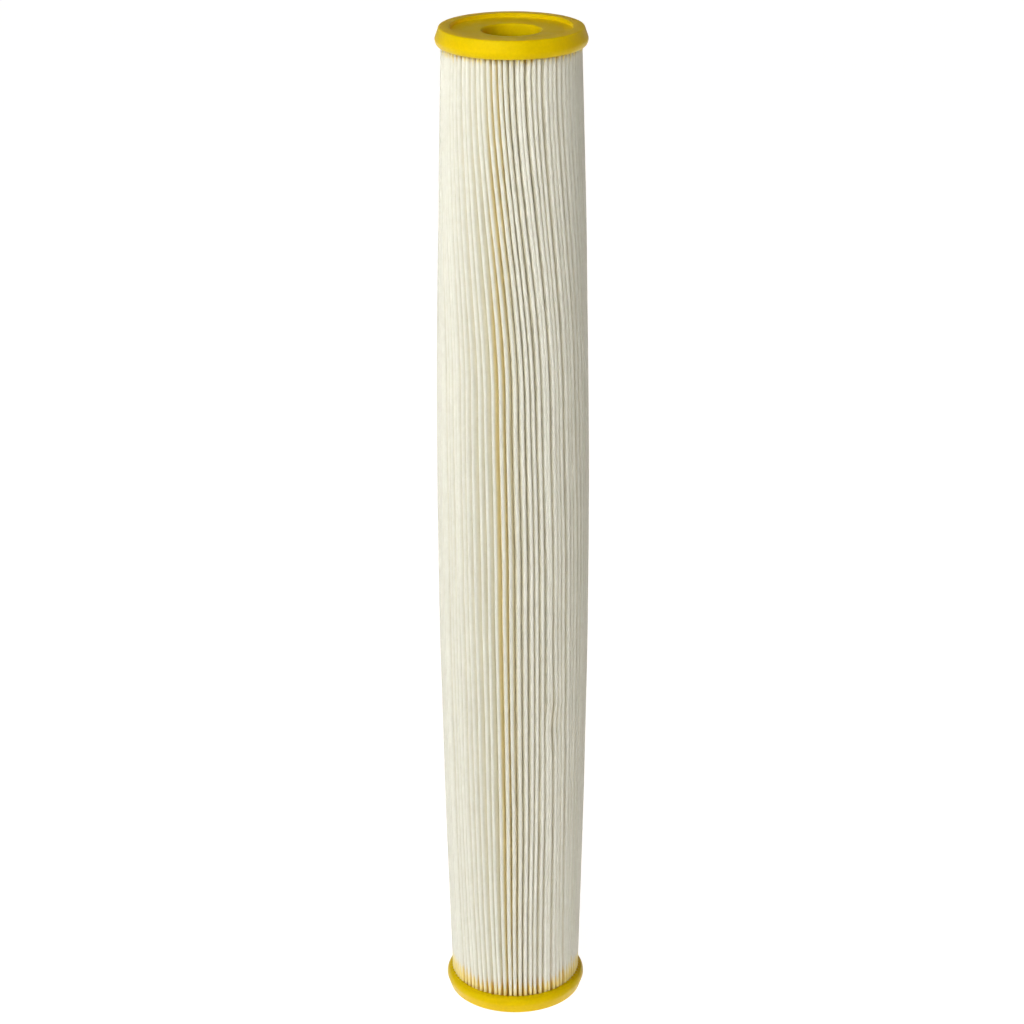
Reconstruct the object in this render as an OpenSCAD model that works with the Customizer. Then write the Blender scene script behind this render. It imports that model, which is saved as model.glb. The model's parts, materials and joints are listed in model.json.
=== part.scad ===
// Open-ended pleated filter cartridge for a pool or spa housing.
// Two cast end caps hold a pleated sheet, which closes on itself at one side seam, around a lattice
// core that is plugged together from four moulded sections.
// The pack of pleats bows outward at mid-length and is twisted a little below the upper cap.
// Millimetres. +Z runs up the cartridge, and the origin is the centre of the lower sealing rim.

/* [Cartridge] */
// Overall length, from one sealing rim to the other
length = 495.3; // [300:0.1:800]
// Largest diameter of the end caps
cap_d = 69.85; // [69.8:0.05:76]
// Diameter of the bore through both caps
bore_d = 27; // [24:0.5:27]

/* [End caps] */
// Height of a cap from its rim to the edge that faces the pleats
cap_h = 8.5; // [8:0.5:12]
// How far the outer wall leans in on its way to the rim
cap_draft = 1.6; // [0:0.1:2]
// Width of the raised sealing rim
rim_w = 5.4; // [4:0.1:7]
// How far the face inside the rim lies below it
recess = 1.8; // [1:0.1:2.2]
// Radius on the moulded edges of the rim and the bore
edge_r = 0.8; // [0.4:0.1:0.9]
// Radius on the full, soft edge that faces the pleats
lip_r = 1.9; // [0.8:0.1:1.9]
// How far the casting climbs the pleats above the cap's edge
climb_h = 1.2; // [0.6:0.1:4]
// How far that climb spreads outside the pleats
climb_w = 0.4; // [0.2:0.05:0.5]

/* [Pleated sheet] */
// Number of pleats
pleats = 76; // [60:2:78]
// Thickness of the sheet
sheet_t = 0.5; // [0.4:0.05:0.55]
// Radius over the pleat tips where they enter the caps
tip_r = 32.3; // [30:0.1:32.4]
// Radius inside the inner folds where they enter the caps
root_r = 16.7; // [16.6:0.1:18]
// Width over an outer fold
tip_w = 1.5; // [1.3:0.05:1.6]
// Width over an inner fold
root_w = 1.2; // [1.15:0.01:1.22]
// How far the pack bows outward at mid-length
bow = 4.5; // [0:0.1:6]
// Angle that the pack has turned by where it meets the upper cap
twist = 24; // [0:1:30]
// Height at which it starts to turn
twist_start = 240; // [20:10:280]

/* [Core] */
// Inner radius of the core
core_ri = 14; // [13.8:0.1:14.2]
// Outer radius of the core
core_ro = 16.4; // [15.8:0.1:16.5]
// Windows round each row of the lattice, an even number
windows = 8; // [6:2:10]
// Width of the lattice's upright ribs where they face the bore
rib_w = 1.9; // [1:0.1:3]
// Rows of windows in one section
rows = 8; // [4:1:10]

/* [Hidden] */
$fn = 96;
cap_r = cap_d / 2;
bore_r = bore_d / 2;
pitch = 360 / pleats;
pot_level = cap_h + climb_h; // height that the casting reaches between the pleats
core_end = 3;                // height of the core's end inside a cap
sheet_end = 4;               // height of the sheet's end inside a cap
straight = pot_level + 1.1;  // the sheet runs straight up to here, then starts to bow
ring_steps = 7;              // steps of the sheet between its two straight ends
film = 0.15;                 // thickness of the casting over a pleat tip where its climb ends
seam_angle = 90;             // the side seam is at the back
seam_depth = 1;              // how far the seam bead reaches between the sheet's two edges
seam_cover = 0.4;            // how far it stands over them
seam_root_w = 0.3;           // width of its inner end
edge_steps = 5;              // steps in a moulded edge's quarter round
sections = 4;                // the core's sections, one node each
core_band = 8;               // solid band at each end of a core section
core_mid_r = (core_ri + core_ro) / 2;
core_hoop = 2.4;             // hoop between two rows of windows
joint_h = 4;                 // height of the spigot that plugs into the next section
section_h = (length - 2 * core_end) / sections;

// ---- curves shared by the caps ----

// A quarter or part of a circle round c, from angle a0 to a1
function round_edge(c, r, a0, a1) =
    [for (k = [0:edge_steps]) let (a = a0 + (a1 - a0) * k / edge_steps) c + r * [cos(a), sin(a)]];

// The hollow curve of casting that climbs from the cap's flat edge to the pleat tips
function climb() =
    [for (k = [0:edge_steps]) let (a = 90 * k / edge_steps)
        [tip_r + film + climb_w * (1 - sin(a)), cap_h + climb_h * (1 - cos(a))]];

// Half section of a cap as [radius, height], rim down
function cap_section() = let (
    foot_r = cap_r - cap_draft,
    rim_ri = foot_r - rim_w,
    rim_edge = edge_r / 2
) concat(
    round_edge([rim_ri + rim_edge, rim_edge], rim_edge, 180, 270),
    round_edge([foot_r - edge_r, edge_r], edge_r, 270, 360),
    round_edge([cap_r - lip_r, cap_h - lip_r], lip_r, 0, 90),
    climb(),
    [[core_mid_r, pot_level], [core_mid_r, cap_h], [bore_r, cap_h]],
    round_edge([bore_r + edge_r, recess + edge_r], edge_r, 180, 270),
    [[rim_ri, recess]]
);

// ---- the sheet's own points ----

function polar(r, a) = [r * cos(a), r * sin(a)];

// A point at radius r, at a side step of s millimetres from angle a
function beside(r, a, s) = polar(r, a + s / r * 180 / PI);

// How far the pack bows outward at height z
function bow_at(z) = z <= straight || z >= length - straight ? 0
    : bow * sin(180 * (z - straight) / (length - 2 * straight));

// How far the pack has turned about its axis at height z
function turn_at(z) = z <= twist_start ? 0
    : -twist * pow(min(1, (z - twist_start) / (length - straight - twist_start)), 2);

// One face of the sheet, from one edge of the seam round to the other. b and turn are the pack's bow
// and turn, tip and root are the radii of its outer and inner folds, edge is the radius it ends at,
// and tip_s and root_s are half the widths of the folds on this face.
function sheet_face(turn, edge, tip, root, tip_s, root_s) = let (start = seam_angle + turn) concat(
    [beside(edge, start, tip_s)],
    [for (i = [0:pleats - 1]) let (fold = start + (i + 0.5) * pitch, next = fold + pitch / 2)
        each concat(
            [beside(root, fold, -root_s), beside(root, fold, root_s)],
            i < pleats - 1 ? [beside(tip, next, -tip_s), beside(tip, next, tip_s)] : []
        )],
    [beside(edge, start + 360, -tip_s)]
);

function outer_face(b, turn) =
    sheet_face(turn, tip_r + b, tip_r + b, root_r + b + sheet_t, tip_w / 2, root_w / 2 - sheet_t);

function inner_face(b, turn) =
    sheet_face(turn, tip_r + b, tip_r + b - sheet_t, root_r + b, tip_w / 2 - sheet_t, root_w / 2);

// The sheet's outline, out along its outer face and back along its inner one
function sheet_outline(b, turn) = concat(outer_face(b, turn), reversed(inner_face(b, turn)));

// The seam's outline: a stem between the sheet's two edges and a head over them
function seam_outline(b, turn) =
    let (r = tip_r + b, w = tip_w / 2, s = tip_w / 2 - sheet_t, d = seam_root_w / 2)
    [for (p = [
        [r - seam_depth, d], [r - seam_depth, -d], [r, -s], [r, -w],
        [r + seam_cover, -w], [r + seam_cover, w], [r, w], [r, s]
    ]) beside(p[0], seam_angle + turn, p[1])];

function reversed(v) = [for (k = [len(v) - 1:-1:0]) v[k]];

// Heights of the rings that the sheet and its seam are built on
ring_z = concat(
    [sheet_end],
    [for (k = [0:ring_steps]) straight + (length - 2 * straight) * k / ring_steps],
    [length - sheet_end]
);

function raised(points, z) = [for (p = points) [p[0], p[1], z]];

// The two triangles of a four-cornered face
function split(a, b, c, d) = [[a, b, c], [a, c, d]];

// Walls from a ring of n points, which starts at index a, to the ring above it. Each wall of the
// sheet is split from its foot at the root to its top at the tip, so that walls which turn with the
// pack stay clear of each other.
function walls(a, n) = [for (k = [0:n - 1]) let (m = (k + 1) % n) each
    k % 4 == 2 ? split(a + k, a + n + k, a + n + m, a + m)
               : split(a + m, a + k, a + n + k, a + n + m)];

// ---- sub-parts ----

module cap_casting() {
    rotate_extrude() polygon(cap_section());
}

module ring(ri, ro, z0, z1) {
    translate([0, 0, z0]) difference() {
        cylinder(r = ro, h = z1 - z0);
        translate([0, 0, -1]) cylinder(r = ri, h = z1 - z0 + 2);
    }
}

// What is cast into a cap: the ends of the sheet, of its seam and of the core
module cast_in(turn) {
    translate([0, 0, sheet_end]) linear_extrude(height = straight) polygon(sheet_outline(0, turn));
    translate([0, 0, sheet_end]) linear_extrude(height = straight) polygon(seam_outline(0, turn));
    ring(core_ri, core_ro, core_end, straight);
}

// A cap with its rim down, cast round a pack that has turned by an angle there
module cap(turn) {
    color([0.87, 0.74, 0.02]) difference() {
        cap_casting();
        cast_in(turn);
    }
}

module bottom_end_cap() {
    cap(0);
}

module top_end_cap() {
    translate([0, 0, length]) mirror([0, 0, 1]) cap(-twist);
}

// A closed skin over one outline, which bows and turns with the pack, and flat triangles at its ends
module swept(outline, n, ends) {
    last = len(ring_z) - 1;
    polyhedron(
        points = [for (j = [0:last]) each raised(outline[j], ring_z[j])],
        faces = concat(
            ends,
            [for (j = [0:last - 1]) each walls(j * n, n)],
            [for (t = ends) [t[0] + last * n, t[2] + last * n, t[1] + last * n]]
        )
    );
}

module pleated_sheet() {
    n = 8 * pleats;
    // Point k of the outer face is across the sheet from point n - 1 - k of the inner one
    color([0.93, 0.91, 0.85]) swept(
        [for (z = ring_z) sheet_outline(bow_at(z), turn_at(z))],
        n,
        [for (k = [0:n / 2 - 2]) each split(k, k + 1, n - 2 - k, n - 1 - k)]
    );
}

module side_seam() {
    color([0.9, 0.88, 0.78]) swept(
        [for (z = ring_z) seam_outline(bow_at(z), turn_at(z))],
        8,
        [[0, 1, 2], [0, 2, 7], [4, 5, 6], [4, 6, 7], [4, 7, 2], [4, 2, 3]]
    );
}

// One length of lattice core. socket and spigot say which ends plug into another section.
module core_section(z0, socket, spigot) {
    window_h = (section_h - 2 * core_band - (rows - 1) * core_hoop) / rows;
    window_w = 2 * core_ri * sin(180 / windows) - rib_w;
    color([0.94, 0.95, 0.95]) translate([0, 0, z0]) difference() {
        union() {
            cylinder(r = core_ro, h = section_h);
            if (spigot) cylinder(r = core_mid_r, h = section_h + joint_h);
        }
        translate([0, 0, -1]) cylinder(r = core_ri, h = section_h + joint_h + 2);
        if (socket) translate([0, 0, -1]) cylinder(r = core_mid_r, h = joint_h + 1);
        for (row = [0:rows - 1], side = [0:windows / 2 - 1])
            translate([0, 0, core_band + row * (window_h + core_hoop)])
                rotate(side * 360 / windows)
                    translate([-core_ro - 1, -window_w / 2, 0])
                        cube([2 * core_ro + 2, window_w, window_h]);
    }
}

module numbered_core_section(k) {
    core_section(core_end + (k - 1) * section_h, k > 1, k < sections);
}

bottom_end_cap();
top_end_cap();
pleated_sheet();
side_seam();
numbered_core_section(1);  // core_section_1
numbered_core_section(2);  // core_section_2
numbered_core_section(3);  // core_section_3
numbered_core_section(4);  // core_section_4
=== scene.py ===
"""The looks of a pleated filter cartridge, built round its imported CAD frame.

The CAD keeps the core. The pleated sheet, its side seam and the two cast end caps are rebuilt here in
finer meshes in the same places. Lengths are metres and the frame's +Z runs up the cartridge. Angles
round the axis are radians, and "front" is the side that faces -Y.
"""

import json
import math

import bpy
import numpy as np
from mathutils import Euler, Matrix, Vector


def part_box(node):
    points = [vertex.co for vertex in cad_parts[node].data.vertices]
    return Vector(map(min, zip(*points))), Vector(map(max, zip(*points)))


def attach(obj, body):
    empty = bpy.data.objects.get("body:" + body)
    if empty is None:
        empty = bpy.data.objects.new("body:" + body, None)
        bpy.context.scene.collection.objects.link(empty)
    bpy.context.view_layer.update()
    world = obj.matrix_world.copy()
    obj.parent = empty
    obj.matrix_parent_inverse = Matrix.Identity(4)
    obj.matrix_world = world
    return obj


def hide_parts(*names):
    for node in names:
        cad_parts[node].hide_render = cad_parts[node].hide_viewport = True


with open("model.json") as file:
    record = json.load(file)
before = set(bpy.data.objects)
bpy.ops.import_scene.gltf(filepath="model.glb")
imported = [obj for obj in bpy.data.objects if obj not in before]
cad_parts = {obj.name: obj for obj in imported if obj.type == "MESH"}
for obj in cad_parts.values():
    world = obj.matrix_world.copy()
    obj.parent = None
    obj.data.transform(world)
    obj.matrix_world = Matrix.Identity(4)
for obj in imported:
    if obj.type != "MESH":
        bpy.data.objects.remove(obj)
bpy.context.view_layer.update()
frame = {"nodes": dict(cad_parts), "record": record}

MM = 0.001
TURN = 2 * math.pi
FRONT = -math.pi / 2
SEED = 7  # of the folds' uneven shapes

# ---------------------------------------------------------------- sizes, from the frame


def node_points(node):
    """All of a CAD node's vertices."""
    mesh = frame["nodes"][node].data
    points = np.zeros(len(mesh.vertices) * 3)
    mesh.vertices.foreach_get("co", points)
    return points.reshape(-1, 3)


def end_points(node, top):
    """The vertices at one end of a CAD node."""
    points = node_points(node)
    z = points[:, 2]
    return points[z > z.max() - 0.1 * MM] if top else points[z < z.min() + 0.1 * MM]


def angle_of(points):
    """The direction, round the axis, of the middle of some points."""
    middle = points.mean(axis=0)
    return math.atan2(middle[1], middle[0])


mounts = {m["name"]: m for m in frame["record"]["mounts"]}
sheet_low, sheet_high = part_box("pleated_sheet")
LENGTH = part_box("top_end_cap")[1].z
CAP_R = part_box("bottom_end_cap")[1].x
CORE_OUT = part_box("core_section_1")[1].x
BORE_R = mounts["bottom_bore"]["dims"]["r_mm"] * MM
sheet_end = end_points("pleated_sheet", top=False)
sheet_radii = np.hypot(sheet_end[:, 0], sheet_end[:, 1])
TIP_R = sheet_radii.max()
ROOT_R = sheet_radii.min()
SEAM_ANGLE = angle_of(end_points("side_seam", top=False))
TWIST = angle_of(end_points("side_seam", top=True)) - SEAM_ANGLE
ALL_R = np.hypot(*node_points("pleated_sheet")[:, :2].T).max()
BOW = ALL_R - TIP_R

# The shape that the frame can't say
PLEATS = 76
PITCH = TURN / PLEATS
SHEET_T = 0.5 * MM
TIP_HALF = 0.76 * MM        # half the width of an outer fold
ROOT_HALF = 0.6 * MM        # half the width of an inner fold
CAP_H = 8.5 * MM            # from a sealing rim to the cap's edge on the pleat side
TWIST_START = 0.485         # share of the length where the pack starts to turn
SOFT_END = 12 * MM          # height at which the sheet leaves a cap and is free to bow
DENT_ANGLE = math.radians(33)  # where the dent is, to the right of the front
DENT_Z = 165 * MM


def smooth(x):
    """An S curve from 0 at x = 0 to 1 at x = 1, flat beyond them."""
    x = np.clip(x, 0, 1)
    return x * x * (3 - 2 * x)


def free_share(z):
    """0 at the lower cap and 1 at the upper one, over the sheet's free height."""
    return np.clip((z - SOFT_END) / (LENGTH - 2 * SOFT_END), 0, 1)


def bow(z):
    """How far the pack bows outward at a height."""
    return BOW * np.sin(math.pi * free_share(z))


def twist(z):
    """How far the pack has turned at a height: slowly at first, then quickly towards the upper cap."""
    u = np.clip((free_share(z) - TWIST_START) / (1 - TWIST_START), 0, 1)
    return TWIST * (0.75 * smooth((u - 0.35) / 0.65) + 0.25 * u)


# ---------------------------------------------------------------- the pleats


class Pleats:
    """Where every fold of the sheet is at any height. Fold 0 of the tips is the side seam."""

    # Each wave along the sheet: its wavelength in m, and how many mm it moves a tip sideways and inward
    WAVES = ((0.045, 0.015, 0.01), (0.085, 0.05, 0.025), (0.15, 0.14, 0.06), (0.29, 0.30, 0.10))

    def __init__(self):
        rng = np.random.default_rng(SEED)
        self.at = SEAM_ANGLE + np.arange(PLEATS) * PITCH
        # Every tip but the seam's is a little off its place and a little short
        self.offset = rng.normal(0, 0.09, PLEATS) * PITCH
        self.offset[0] = 0
        self.short = np.abs(rng.normal(0, 0.16, PLEATS)) * MM
        self.short[0] = 0
        drift = rng.normal(0, 0.55, (len(self.WAVES), PLEATS)).cumsum(axis=1)
        self.phase = drift + rng.uniform(0, TURN, (len(self.WAVES), 1))

    def gather(self, angle):
        """How far the tips lean round the pack at mid-height: bunched on some sides, open on others."""
        a = angle - FRONT - math.radians(14)
        return -math.radians(2.3) * (1 - np.cos(3 * a)) - math.radians(1.5) * (1 - np.cos(5 * a))

    def tips(self, z):
        """(angle, radius) of every outer fold, for a column of heights z."""
        z = np.asarray(z, float)[:, None]
        free = np.sin(math.pi * free_share(z))
        sideways = np.zeros((len(z), PLEATS))
        inward = np.zeros((len(z), PLEATS))
        for (wavelength, across, deep), phase in zip(self.WAVES, self.phase):
            wave = np.sin(TURN * z / wavelength + phase)
            sideways += across * MM * wave
            inward += deep * MM * np.cos(TURN * z / wavelength + 1.7 * phase)
        give = 0.25 + 0.75 * free ** 0.5  # a cap holds the tips in place
        angle = self.at + twist(z) + self.offset + sideways * give / TIP_R
        angle = angle + self.gather(self.at + 0 * z) * free ** 0.8
        radius = TIP_R + bow(z) - (self.short + np.abs(inward)) * give
        dent_a, dent_r = self.dent(angle, z)
        return angle + dent_a, radius - dent_r

    def dent(self, angle, z):
        """A shallow crease where a few tips were knocked over and in."""
        a = angle - FRONT - DENT_ANGLE
        a = (a + math.pi) % TURN - math.pi
        near = np.exp(-(a / math.radians(7)) ** 2)
        h = (z - DENT_Z) / (11 * MM)
        kink = near * h * np.exp(-h * h)
        return math.radians(2.6) * kink, 0.7 * MM * near * np.exp(-h * h)

    def roots(self, z):
        """(angle, radius) of every inner fold; fold i lies between tips i and i + 1."""
        z = np.asarray(z, float)[:, None]
        angle = self.at + PITCH / 2 + twist(z)
        return angle + 0 * z, ROOT_R + bow(z) + 0 * angle


pleats = Pleats()


def polar(radius, angle):
    """(x, y) of points given by their radius and angle."""
    return np.stack([radius * np.cos(angle), radius * np.sin(angle)], axis=-1)


def unit(v):
    """v at length 1."""
    return v / np.linalg.norm(v, axis=-1, keepdims=True)


def sideways_of(v):
    """v turned a quarter turn anticlockwise."""
    return np.stack([-v[..., 1], v[..., 0]], axis=-1)


def sheet_face(z, outer, tip_steps, root_steps, slot):
    """One face of the sheet as rings of points, from one edge at the seam round to the other.

    z is a column of heights, outer picks the face, and the steps say how finely the folds are cut. The
    panels on the two sides of a slot bulge towards each other. slot lists, from the tips down, how far
    down a point is and how much of the slot's mouth is still open there."""
    tip_angle, tip_radius = pleats.tips(z)
    root_angle, root_radius = pleats.roots(z)
    tip_w = TIP_HALF if outer else TIP_HALF - SHEET_T
    root_w = ROOT_HALF - SHEET_T if outer else ROOT_HALF
    tip = polar(tip_radius, tip_angle)
    root = polar(root_radius, root_angle)
    out = unit(root)
    before = np.roll(root, 1, axis=1)
    lean = unit(0.5 * unit(tip) + 0.5 * unit(tip - (root + before) / 2))
    tip_centre = tip - TIP_HALF * lean
    root_centre = root + ROOT_HALF * out
    tip_left, root_left = sideways_of(lean), sideways_of(out)
    right_lip = tip_centre + tip_w * tip_left
    left_lip = np.roll(tip_centre - tip_w * tip_left, -1, axis=1)
    mouth = (right_lip + left_lip) / 2
    columns = []
    edge = tip_centre[:, 0] + TIP_HALF * lean[:, 0]
    columns.append(edge + tip_w * tip_left[:, 0])
    for i in range(PLEATS):
        j = (i + 1) % PLEATS
        top, foot, side = mouth[:, i], root_centre[:, i], root_w * root_left[:, i]
        down = [top + (foot - top) * s + w * (right_lip[:, i] - top) - (1 - w) * side for s, w in slot]
        back = [top + (foot - top) * s + w * (left_lip[:, i] - top) + (1 - w) * side for s, w in slot]
        columns.append(right_lip[:, i])
        columns += down
        for b in np.linspace(-90, 90, root_steps):
            b = math.radians(b)
            columns.append(foot + math.sin(b) * side - math.cos(b) * root_w * out[:, i])
        columns += back[::-1]
        if j:
            for b in np.linspace(-90, 90, tip_steps)[:-1]:
                b = math.radians(b)
                columns.append(tip_centre[:, j] + tip_w * (
                    math.sin(b) * tip_left[:, j] + math.cos(b) * lean[:, j]))
        else:
            columns.append(left_lip[:, i])
    columns.append(edge - tip_w * tip_left[:, 0])
    flat = np.stack(columns, axis=1)
    height = np.broadcast_to(np.asarray(z)[:, None, None], flat.shape[:2] + (1,))
    return np.concatenate([flat, height], axis=2)


def grid_faces(rows, columns, start, flip, closed=False):
    """Quads over a grid of points that were added row by row from index start."""
    faces = []
    last = columns if closed else columns - 1
    for r in range(rows - 1):
        a, b = start + r * columns, start + (r + 1) * columns
        for c in range(last):
            d = (c + 1) % columns
            quad = (a + c, a + d, b + d, b + c)
            faces.append(quad[::-1] if flip else quad)
    return faces


def zip_faces(line_a, line_b, share_a, share_b):
    """Triangles between two lines of point indices, paired by how far along each point is."""
    faces, i, j = [], 0, 0
    while i < len(line_a) - 1 or j < len(line_b) - 1:
        a_next = share_a[i + 1] if i < len(line_a) - 1 else math.inf
        b_next = share_b[j + 1] if j < len(line_b) - 1 else math.inf
        if a_next <= b_next:
            faces.append((line_a[i], line_a[i + 1], line_b[j]))
            i += 1
        else:
            faces.append((line_a[i], line_b[j + 1], line_b[j]))
            j += 1
    return faces


def new_piece(name, points, faces):
    """A smooth-shaded mesh object in the scene."""
    mesh = bpy.data.meshes.new(name)
    mesh.from_pydata([tuple(p) for p in points], [], faces)
    mesh.validate()
    mesh.update()
    piece = bpy.data.objects.new(name, mesh)
    bpy.context.scene.collection.objects.link(piece)
    mesh.polygons.foreach_set("use_smooth", [True] * len(mesh.polygons))
    return piece


def ring_heights(steps):
    """Evenly spaced heights from one end of the sheet to the other."""
    return np.linspace(sheet_low.z, sheet_high.z, steps + 1)


def pleat_shares(tip_steps, root_steps, slot):
    """How far round the sheet each column of one of its faces is, counted in pleats."""
    out = [0.0]
    for i in range(PLEATS):
        out.append(i + 0.02)
        out += [i + 0.02 + 0.4 * s for s, w in slot]
        out += list(np.linspace(i + 0.43, i + 0.57, root_steps))
        out += [i + 0.98 - 0.4 * s for s, w in slot[::-1]]
        last = i == PLEATS - 1
        out += [i + 0.98] if last else list(np.linspace(i + 0.98, i + 1.02, tip_steps))[:-1]
    out.append(float(PLEATS))
    return out


def make_sheet():
    """The pleated sheet, with both of its faces, its two ends and its two edges at the seam."""
    fine = dict(tip_steps=5, root_steps=2, slot=((0.035, 0.88), (0.08, 0.5), (0.13, 0.17), (0.2, 0)))
    plain = dict(tip_steps=3, root_steps=3, slot=((0.08, 0.5), (0.2, 0)))
    z_outer, z_inner = ring_heights(64), ring_heights(24)
    outer = sheet_face(z_outer, True, **fine)
    inner = sheet_face(z_inner, False, **plain)
    points = np.concatenate([outer.reshape(-1, 3), inner.reshape(-1, 3)])
    n_o, n_i = outer.shape[1], inner.shape[1]
    base = outer.shape[0] * n_o
    faces = grid_faces(len(z_outer), n_o, 0, flip=False)
    faces += grid_faces(len(z_inner), n_i, base, flip=True)
    share_o, share_i = pleat_shares(**fine), pleat_shares(**plain)
    for top in (False, True):
        row_o = (len(z_outer) - 1) * n_o if top else 0
        row_i = base + ((len(z_inner) - 1) * n_i if top else 0)
        line_o, line_i = list(range(row_o, row_o + n_o)), list(range(row_i, row_i + n_i))
        strip = zip_faces(line_o, line_i, share_o, share_i)
        faces += strip if top else [f[::-1] for f in strip]
    for last in (False, True):
        line_o = [r * n_o + (n_o - 1 if last else 0) for r in range(len(z_outer))]
        line_i = [base + r * n_i + (n_i - 1 if last else 0) for r in range(len(z_inner))]
        strip = zip_faces(line_o, line_i, list(z_outer), list(z_inner))
        faces += [f[::-1] for f in strip] if last else strip
    return new_piece("pleated_fabric", points, faces)


def make_seam():
    """The adhesive bead that closes the sheet: a low, uneven, rounded strip over its two edges."""
    z = ring_heights(110)
    angle, radius = (a[:, 0] for a in pleats.tips(z))
    out = polar(np.ones_like(angle), angle)
    left = sideways_of(out)
    wobble = np.sin(z * 310) + 0.7 * np.sin(z * 730 + 1) + 0.5 * np.sin(z * 1490 + 2)
    half = TIP_HALF * (0.98 + 0.05 * wobble)
    crown = 0.30 * MM * (1 + 0.22 * np.sin(z * 520 + 0.6) + 0.14 * np.sin(z * 1180))
    stem = TIP_HALF - SHEET_T - 0.02 * MM
    columns = [out * (radius - 1.0 * MM)[:, None] + left * stem * s for s in (0.7, -0.7)]
    columns.append(out * radius[:, None] - left * stem)
    for a in np.linspace(-90, 90, 9):
        a = math.radians(a)
        rise = (radius + 0.04 * MM + crown * math.cos(a))[:, None]
        columns.append(out * rise + left * (half * math.sin(a))[:, None])
    columns.append(out * radius[:, None] + left * stem)
    flat = np.stack(columns, axis=1)
    n = flat.shape[1]
    height = np.broadcast_to(z[:, None, None], flat.shape[:2] + (1,))
    points = np.concatenate([flat, height], axis=2).reshape(-1, 3)
    faces = grid_faces(len(z), n, 0, flip=False, closed=True)
    faces.append(tuple(range(n))[::-1])
    faces.append(tuple(range(len(points) - n, len(points))))
    return new_piece("seam_bead", points, faces)


# ---------------------------------------------------------------- the end caps

EDGE_R = 0.8 * MM      # rounding of the bore's edge and of the sealing rim's outer edge
LIP_R, LIP_H = 1.9 * MM, 3.2 * MM  # how far the full, soft edge on the pleat side curves in and down
RIM_W = 5.4 * MM       # width of the sealing rim
RIM_R = 0.5 * MM       # rounding of its inner edge
DRAFT = 1.6 * MM       # how far the outer wall leans in towards the rim
RECESS = 1.8 * MM      # how far the face inside the rim lies below it
CORNER_R = 0.35 * MM   # fillet between that face and the rim
WET = 0.8 * MM         # how far the casting climbs the folds of the lower cap
DISH = 0.9 * MM        # how far its level sinks between the folds
CORE_IN = 14 * MM      # inner radius of the core, which the casting lines


def arc(centre, r, a0, a1, steps):
    """Points on part of a circle in a half section, as (radius, height); angles in degrees."""
    angles = np.radians(np.linspace(a0, a1, steps + 1))
    return [(centre[0] + r * math.cos(a), centre[1] + r * math.sin(a)) for a in angles]


def cap_outside():
    """Half section of a cap from the bore's inner end, over the sealing rim, to its pleat-side edge."""
    foot = CAP_R - DRAFT
    rim_in = foot - RIM_W
    points = [(CORE_OUT - 1.2 * MM, CAP_H), (CORE_IN - 0.05 * MM, CAP_H), (BORE_R, CAP_H - 0.05 * MM)]
    points += [(BORE_R, h) for h in (0.75 * CAP_H, 0.5 * CAP_H)]
    points += arc((BORE_R + EDGE_R, RECESS + EDGE_R), EDGE_R, 180, 270, 6)
    points += [(r, RECESS) for r in np.linspace(BORE_R + 3 * MM, rim_in - 1.0 * MM, 5)]
    points += arc((rim_in - CORNER_R, RECESS - CORNER_R), CORNER_R, 90, 0, 3)
    points += arc((rim_in + RIM_R, RIM_R), RIM_R, 180, 270, 5)
    points += [(r, 0) for r in np.linspace(rim_in + 1.5 * MM, foot - EDGE_R - 1.0 * MM, 3)]
    points += arc((foot - EDGE_R, EDGE_R), EDGE_R, 270, 350, 6)
    low, high = points[-1], (CAP_R, CAP_H - LIP_H)
    points += [tuple(np.array(low) + (np.array(high) - low) * s) for s in (0.2, 0.4, 0.6, 0.8)]
    points += [(CAP_R - LIP_R * (1 - math.cos(a)), CAP_H - LIP_H * (1 - math.sin(a)))
               for a in np.linspace(0, math.pi / 2, 12)]
    return points


def casting_level(radius, angle, tip_angle, tip_radius, wet):
    """Height of the casting's pleat side at some points: it climbs every fold that it wets."""
    nearest = np.abs((angle[:, None] - tip_angle + math.pi) % TURN - math.pi).argmin(axis=1)
    across = radius * ((angle - tip_angle[nearest] + math.pi) % TURN - math.pi)
    along = radius - (tip_radius[nearest] - TIP_HALF)
    away = np.hypot(np.maximum(along, 0), across) - TIP_HALF
    away = np.maximum(away, 0)
    climb = wet * (0.75 * np.exp(-away / (0.42 * MM)) + 0.25 * np.exp(-away / (1.1 * MM)))
    inside = smooth((TIP_R - 0.2 * MM - radius) / (1.2 * MM))
    return CAP_H - DISH * inside + climb


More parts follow.
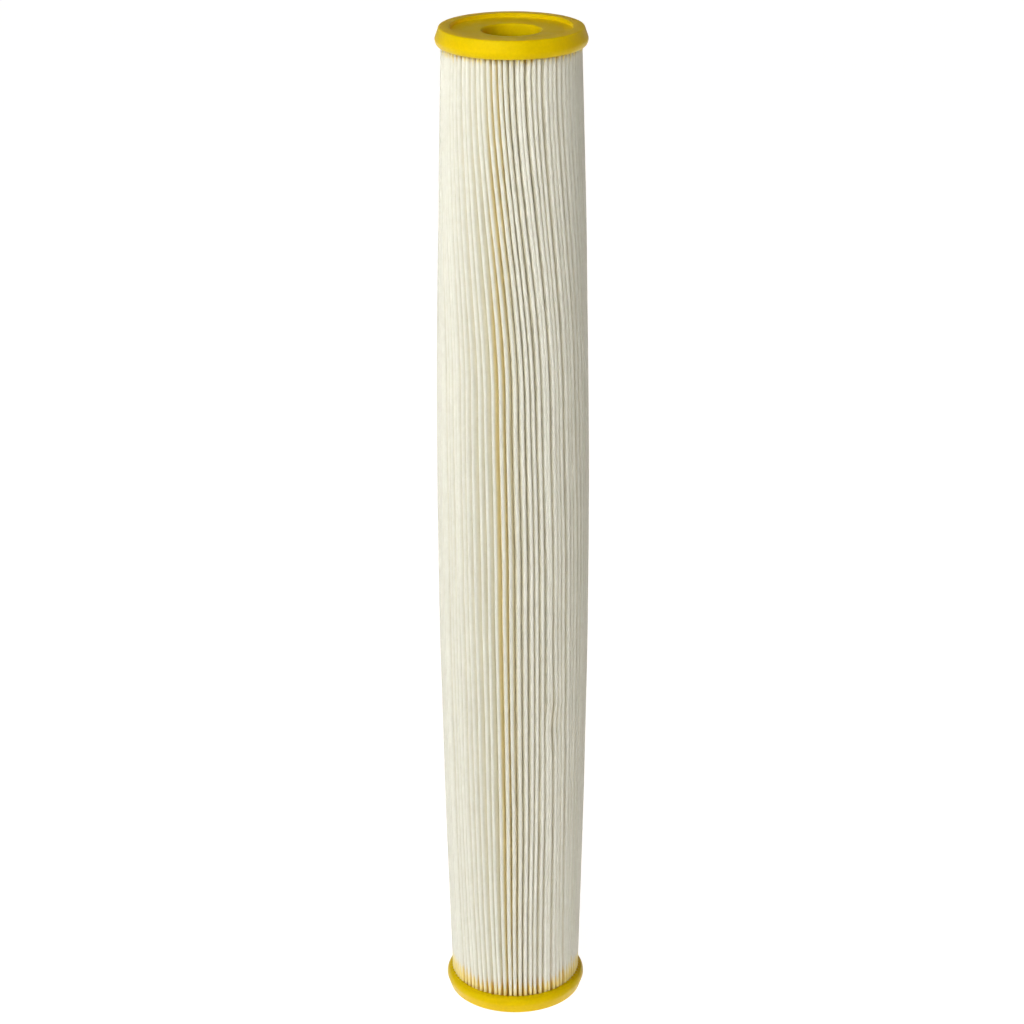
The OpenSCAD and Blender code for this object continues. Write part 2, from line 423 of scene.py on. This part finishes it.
def make_cap(name, top):
    """One cast cap: a turned shape outside, and a pleat side that follows the folds it holds."""
    columns = 8 * PLEATS
    angle = np.arange(columns) / columns * TURN
    edge_r = CAP_R - LIP_R
    wet = (0.5 if top else 1) * WET
    rows = [(np.full(columns, r), np.full(columns, h)) for r, h in cap_outside()]
    z_contact = np.array([LENGTH - CAP_H if top else CAP_H])
    tip_angle, tip_radius = (a[0] for a in pleats.tips(z_contact))
    radii = list(np.linspace(edge_r, TIP_R + 0.35 * MM, 5)[1:])
    radii += list(np.linspace(TIP_R + 0.25 * MM, TIP_R - 0.9 * MM, 9))
    radii += [TIP_R - 1.8 * MM, TIP_R - 3.2 * MM, TIP_R - 5.5 * MM, TIP_R - 9 * MM]
    for r in radii:
        level = casting_level(np.full(columns, r), angle, tip_angle, tip_radius, wet)
        inner = smooth((edge_r - r) / (0.3 * MM))
        level = (1 - inner) * CAP_H + inner * level
        rows.append((np.full(columns, r), level))
    rows.append((np.full(columns, CORE_OUT + 0.3 * MM), np.full(columns, CAP_H)))
    uneven = np.sin(3 * angle + 1) + 0.6 * np.sin(7 * angle + 2) + 0.4 * np.sin(13 * angle)
    lump = 0.035 * MM * uneven
    points = []
    for r, h in rows:
        swell = lump * smooth((r - 0.9 * TIP_R) / (0.05 * CAP_R)) * (h > 0.6 * MM) * (h < CAP_H)
        rr = np.minimum(r + swell, CAP_R)
        z = LENGTH - h if top else h
        points.append(np.stack([rr * np.cos(angle), rr * np.sin(angle), z], axis=1))
    points = np.concatenate(points)
    faces = grid_faces(len(rows), columns, 0, flip=top, closed=True)
    last = (len(rows) - 1) * columns
    for c in range(columns):
        d = (c + 1) % columns
        quad = (last + c, last + d, d, c)
        faces.append(quad[::-1] if top else quad)
    return new_piece(name, points, faces)


# ---------------------------------------------------------------- materials


class Shader:
    """A node material under construction, with short calls for the nodes that the looks need."""

    def __init__(self, name):
        """An empty material whose textures follow the object's own coordinates."""
        self.material = bpy.data.materials.new(name)
        self.material.use_nodes = True
        self.nodes = self.material.node_tree.nodes
        self.links = self.material.node_tree.links
        self.bsdf = self.nodes["Principled BSDF"]
        self.bsdf.subsurface_method = "BURLEY"
        self.place = self.nodes.new("ShaderNodeTexCoord").outputs["Object"]

    def set(self, **values):
        """Values on the shader's own sockets, with _ for a space in a socket's name."""
        for key, value in values.items():
            self.bsdf.inputs[key.replace("_", " ")].default_value = value

    def link(self, source, target):
        self.links.new(source, target)

    def stretched(self, scale):
        """The coordinates scaled by a different factor along each axis."""
        node = self.nodes.new("ShaderNodeMapping")
        node.inputs["Scale"].default_value = scale
        self.link(self.place, node.inputs["Vector"])
        return node.outputs["Vector"]

    def noise(self, scale, detail=3, rough=0.55, vector=None, distortion=0):
        """Noise from 0 to 1, over the coordinates or another vector."""
        node = self.nodes.new("ShaderNodeTexNoise")
        node.inputs["Scale"].default_value = scale
        node.inputs["Detail"].default_value = detail
        node.inputs["Roughness"].default_value = rough
        node.inputs["Distortion"].default_value = distortion
        self.link(vector or self.place, node.inputs["Vector"])
        return node.outputs["Fac"]

    def ramp(self, source, *stops):
        """stops are (position, colour) pairs, a colour being a grey level or (r, g, b)."""
        node = self.nodes.new("ShaderNodeValToRGB")
        while len(node.color_ramp.elements) < len(stops):
            node.color_ramp.elements.new(0.5)
        for element, (position, colour) in zip(node.color_ramp.elements, stops):
            element.position = position
            rgb = (colour,) * 3 if isinstance(colour, (int, float)) else colour
            element.color = (*rgb, 1)
        self.link(source, node.inputs["Fac"])
        return node.outputs["Color"]

    def math(self, operation, a, b=None):
        """One arithmetic step on one or two values, each a number or a socket."""
        node = self.nodes.new("ShaderNodeMath")
        node.operation = operation
        for socket, value in zip(node.inputs, (a, b)):
            if value is None:
                continue
            if isinstance(value, (int, float)):
                socket.default_value = value
            else:
                self.link(value, socket)
        return node.outputs["Value"]

    def mix(self, share, a, b, kind="MIX"):
        """A colour between a and b, each an (r, g, b) or a socket."""
        node = self.nodes.new("ShaderNodeMix")
        node.data_type = "RGBA"
        node.blend_type = kind
        for socket, value in ((node.inputs["Factor"], share), (node.inputs[6], a), (node.inputs[7], b)):
            if isinstance(value, (int, float)):
                socket.default_value = value
            elif isinstance(value, tuple):
                socket.default_value = (*value, 1)
            else:
                self.link(value, socket)
        return node.outputs[2]

    def axis(self, letter):
        """One of the coordinates, X, Y or Z."""
        node = self.nodes.new("ShaderNodeSeparateXYZ")
        self.link(self.place, node.inputs["Vector"])
        return node.outputs[letter]

    def radius(self):
        """Distance from the cartridge's axis."""
        node = self.nodes.new("ShaderNodeVectorMath")
        node.operation = "LENGTH"
        self.link(self.stretched((1, 1, 0)), node.inputs[0])
        return node.outputs["Value"]

    def between(self, value, low, high):
        """0 where value is at low and 1 where it is at high, clamped."""
        node = self.nodes.new("ShaderNodeMapRange")
        node.inputs["From Min"].default_value = low
        node.inputs["From Max"].default_value = high
        self.link(value, node.inputs["Value"])
        return node.outputs["Result"]

    def bump(self, height, distance, strength=1.0, after=None):
        """A normal from a height in metres, on top of another one where there is one."""
        node = self.nodes.new("ShaderNodeBump")
        node.inputs["Distance"].default_value = distance
        node.inputs["Strength"].default_value = strength
        self.link(height, node.inputs["Height"])
        if after is not None:
            self.link(after, node.inputs["Normal"])
        return node.outputs["Normal"]

    def finish(self, colour, roughness=None, normal=None):
        """Link what varies over the surface, and return the material."""
        for key, socket in (("Base Color", colour), ("Roughness", roughness), ("Normal", normal)):
            if socket is not None:
                self.link(socket, self.bsdf.inputs[key])
        return self.material


def vinyl_material():
    """Cast yellow vinyl: satin, faintly mottled, with a fine skin and a few shallow flow marks."""
    s = Shader("cast_yellow_vinyl")
    s.set(IOR=1.5, Specular_IOR_Level=0.22, Specular_Tint=(1.0, 0.8, 0.1, 1),
          Subsurface_Weight=0.9, Subsurface_Radius=(1.0, 0.6, 0.05), Subsurface_Scale=0.008)
    cloud = s.ramp(s.noise(70, 3), (0.3, (0.71, 0.485, 0.0005)), (0.7, (0.76, 0.53, 0.001)))
    fine = s.ramp(s.noise(900, 2), (0.35, 0.94), (0.65, 1.0))
    colour = s.mix(1.0, cloud, fine, "MULTIPLY")
    roughness = s.ramp(s.noise(160, 3), (0.3, 0.30), (0.7, 0.42))
    skin = s.bump(s.noise(2600, 2), 0.00002, 0.6)
    normal = s.bump(s.noise(120, 2), 0.00012, 0.5, after=skin)
    return s.finish(colour, roughness, normal)


def below_tips(s):
    """How far in from the pack's bowed outline a point of the fabric is."""
    free = s.between(s.axis("Z"), SOFT_END, LENGTH - SOFT_END)
    bowed = s.math("MULTIPLY", s.math("SINE", s.math("MULTIPLY", free, math.pi)), BOW)
    return s.math("SUBTRACT", s.math("ADD", bowed, TIP_R), s.radius())


def painted_light_strip(s):
    """1 in a narrow upright strip just left of the front's middle, where the folds get painted ochre
    light.
    """
    slope = s.math("MULTIPLY", s.math("SUBTRACT", s.axis("Z"), LENGTH / 2), 0.010)
    across = s.math("ADD", s.axis("X"), slope)
    strip = s.math("MULTIPLY", s.between(across, -9.5 * MM, -7.5 * MM), s.between(across, 2 * MM, -3 * MM))
    return s.math("MULTIPLY", strip, s.between(s.axis("Y"), 0, -10 * MM))


def soaked_ends(s, deep):
    """1 where vinyl has soaked up into the sheet at a cap: highest in the folds and at the sides."""
    z = s.axis("Z")
    edge = s.noise(1, 3, vector=s.stretched((900, 900, 160)))
    ragged = s.math("MULTIPLY", s.math("SUBTRACT", edge, 0.5), 12 * MM)
    up = s.math("ADD", z, ragged)
    down = s.math("SUBTRACT", LENGTH, s.math("SUBTRACT", z, ragged))
    aside = s.between(s.math("ABSOLUTE", s.axis("X")), 16 * MM, 31 * MM)
    climb = s.math("MULTIPLY", s.math("ADD", deep, aside), 4 * MM)
    reach = s.math("ADD", CAP_H + 6.5 * MM, climb)
    low = s.between(s.math("SUBTRACT", up, reach), 0, -5.5 * MM)
    high = s.between(down, CAP_H + 2.5 * MM, CAP_H)
    return s.math("MAXIMUM", low, high)


def fabric_material():
    """Spun-bonded polyester: matt, off-white, fibrous and cloudy, with painted tan shade in its folds,
    soaked at the caps.
    """
    s = Shader("spunbonded_polyester")
    s.set(IOR=1.45, Specular_IOR_Level=0.15, Sheen_Weight=0.05, Sheen_Roughness=0.6,
          Subsurface_Weight=1.0, Subsurface_Radius=(1.0, 1.0, 1.0), Subsurface_Scale=0.003)
    cloud = s.ramp(s.noise(260, 4), (0.3, (0.67, 0.655, 0.57)), (0.7, (0.705, 0.695, 0.62)))
    grain = s.ramp(s.noise(1, 3, vector=s.stretched((2200, 2200, 500))), (0.3, 0.955), (0.7, 1.0))
    colour = s.mix(1.0, cloud, grain, "MULTIPLY")
    sunk = below_tips(s)
    # Painted shade: the fabric turns darker and tan deeper in its folds, and in the front strip ochre as
    # painted light.
    painted_fold_shade = s.mix(painted_light_strip(s), (0.98, 0.94, 0.83), (0.97, 0.83, 0.48))
    with_painted_fold_shade = s.mix(1.0, colour, painted_fold_shade, "MULTIPLY")
    colour = s.mix(s.between(sunk, 0.6 * MM, 2.2 * MM), colour, with_painted_fold_shade)
    deep = s.between(sunk, 0.2 * MM, 1.5 * MM)
    # Soaked tint: real vinyl soak, and deeper in the folds darker and more orange as painted shade.
    soak_tint_and_painted_shade = s.mix(deep, (0.79, 0.66, 0.22), (0.60, 0.36, 0.01))
    colour = s.mix(s.math("MULTIPLY", soaked_ends(s, deep), 0.9), colour, soak_tint_and_painted_shade)
    fibres = s.noise(1, 4, 0.7, vector=s.stretched((3600, 3600, 900)), distortion=1.5)
    normal = s.bump(fibres, 0.00006, 0.7)
    normal = s.bump(s.noise(150, 3), 0.00018, 0.5, after=normal)
    roughness = s.ramp(s.noise(700, 2), (0.3, 0.82), (0.7, 0.95))
    return s.finish(colour, roughness, normal)


def adhesive_material():
    """Hot-melt adhesive: creamy, a little glossy, with small ripples along the bead."""
    s = Shader("hot_melt_adhesive")
    s.set(IOR=1.48, Specular_IOR_Level=0.4, Subsurface_Weight=0.15, Subsurface_Scale=0.001)
    colour = s.ramp(s.noise(300, 3), (0.3, (0.78, 0.73, 0.58)), (0.7, (0.86, 0.82, 0.69)))
    normal = s.bump(s.noise(1, 3, vector=s.stretched((500, 500, 900))), 0.0001, 0.7)
    roughness = s.ramp(s.noise(420, 2), (0.3, 0.38), (0.7, 0.55))
    return s.finish(colour, roughness, normal)


def core_material():
    """Natural moulded polypropylene: milky, faintly glossy, with flow lines."""
    s = Shader("natural_polypropylene")
    s.set(IOR=1.49, Specular_IOR_Level=0.4, Subsurface_Weight=0.1, Subsurface_Scale=0.002)
    colour = s.ramp(s.noise(120, 3), (0.3, (0.78, 0.79, 0.78)), (0.7, (0.86, 0.87, 0.86)))
    flow = s.noise(1, 3, vector=s.stretched((220, 220, 30)))
    normal = s.bump(flow, 0.0001, 0.5)
    roughness = s.ramp(s.noise(380, 2), (0.3, 0.34), (0.7, 0.48))
    return s.finish(colour, roughness, normal)


def place(piece, material, slot, *nodes):
    """Give a piece its material and its body, and let it stand for its CAD nodes. The slot is not used."""
    piece.data.materials.clear()
    piece.data.materials.append(material)
    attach(piece, "root")
    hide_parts(*nodes)


vinyl = vinyl_material()
sheet_piece = make_sheet()
place(sheet_piece, fabric_material(), "filter_fabric", "pleated_sheet")
place(make_seam(), adhesive_material(), "seam_adhesive", "side_seam")
place(make_cap("lower_cap_casting", top=False), vinyl, "cap_vinyl", "bottom_end_cap")
place(make_cap("upper_cap_casting", top=True), vinyl, "cap_vinyl", "top_end_cap")
core_look = core_material()
for section in (n for n in frame["nodes"] if n.startswith("core_section")):
    for material_slot in frame["nodes"][section].material_slots:
        material_slot.material = core_look

# ---------------------------------------------------------------- studio


def make_floor():
    """A table that curves up into a low wall all round. Like a lit backdrop, it glows brightly enough
    to look white behind the cartridge, and less brightly in front of it and at the wall."""
    flat_r, curve_r, wall_h = 3.2, 0.8, 0.7
    section = [(0.0, 0.0), (0.4, 0.0), (1.2, 0.0), (flat_r, 0.0)]
    section += [(flat_r + curve_r * math.sin(a), curve_r * (1 - math.cos(a)))
                for a in np.linspace(0, math.pi / 2, 12)[1:]]
    section.append((flat_r + curve_r, curve_r + wall_h))
    columns = 96
    angle = np.arange(columns) / columns * TURN
    points = [(0, 0, 0)]
    for r, h in section[1:]:
        points += [(r * math.cos(a), r * math.sin(a), h) for a in angle]
    faces = [(0, 1 + c, 1 + (c + 1) % columns) for c in range(columns)]
    faces += grid_faces(len(section) - 1, columns, 1, flip=True, closed=True)
    floor = new_piece("studio_floor", points, faces)
    s = Shader("pale_table")
    grey = s.ramp(s.noise(3, 2), (0.3, 0.15), (0.7, 0.17))
    glow = s.mix(s.between(s.axis("Y"), -0.05, -1.0), (1.03, 1.0, 0.98), (0.60, 0.57, 0.52))
    glow = s.mix(s.between(s.radius(), 2.9, 3.6), glow, (0.30, 0.28, 0.25))
    s.link(glow, s.bsdf.inputs["Emission Color"])
    s.set(Emission_Strength=1.0)
    floor.data.materials.append(s.finish(grey))
    s.set(Roughness=0.9, Specular_IOR_Level=0.0)


def make_light(name, azimuth, elevation, distance, size, power, colour):
    """A soft box that faces the middle of the cartridge. Azimuth 0 is in front, positive to the right."""
    light = bpy.data.lights.new(name, "AREA")
    light.shape = "RECTANGLE"
    light.size, light.size_y = size
    light.energy = power
    light.color = colour
    lamp = bpy.data.objects.new(name, light)
    a, e = math.radians(azimuth) + FRONT, math.radians(elevation)
    middle = Vector((0, 0, LENGTH / 2))
    towards = Vector((math.cos(a) * math.cos(e), math.sin(a) * math.cos(e), math.sin(e)))
    lamp.location = middle + distance * towards
    lamp.rotation_euler = (middle - lamp.location).to_track_quat("-Z", "Y").to_euler()
    bpy.context.scene.collection.objects.link(lamp)


def make_world():
    """A faint, even light from all round."""
    world = bpy.data.worlds.new("studio")
    world.use_nodes = True
    sky = world.node_tree.nodes["Background"]
    sky.inputs["Color"].default_value = (0.95, 0.97, 1.0, 1)
    sky.inputs["Strength"].default_value = 0.04
    bpy.context.scene.world = world


def make_camera():
    """In front, well above the middle, with the whole cartridge upright in the frame."""
    distance, elevation, roll = 1.35, math.radians(22), math.radians(-0.25)
    aim = Vector((-0.0007, 0, 0.5233 * LENGTH))
    camera = bpy.data.cameras.new("camera")
    camera.sensor_width = 36
    camera.lens = 2.723 * camera.sensor_width
    eye = bpy.data.objects.new("camera", camera)
    middle = Vector((0, 0, LENGTH / 2))
    eye.location = middle + distance * Vector((0, -math.cos(elevation), math.sin(elevation)))
    look = (aim - eye.location).to_track_quat("-Z", "Y")
    eye.rotation_euler = (look @ Euler((0, 0, roll)).to_quaternion()).to_euler()
    bpy.context.scene.collection.objects.link(eye)
    bpy.context.scene.camera = eye


make_floor()
make_world()
make_light("key", azimuth=-33, elevation=29, distance=1.5, size=(1.9, 1.3), power=15,
           colour=(0.87, 0.95, 1.0))
make_light("high", azimuth=-30, elevation=49, distance=1.3, size=(0.5, 0.4), power=6.5,
           colour=(1.0, 0.95, 0.88))
make_camera()
bpy.context.scene.view_settings.view_transform = "Standard"
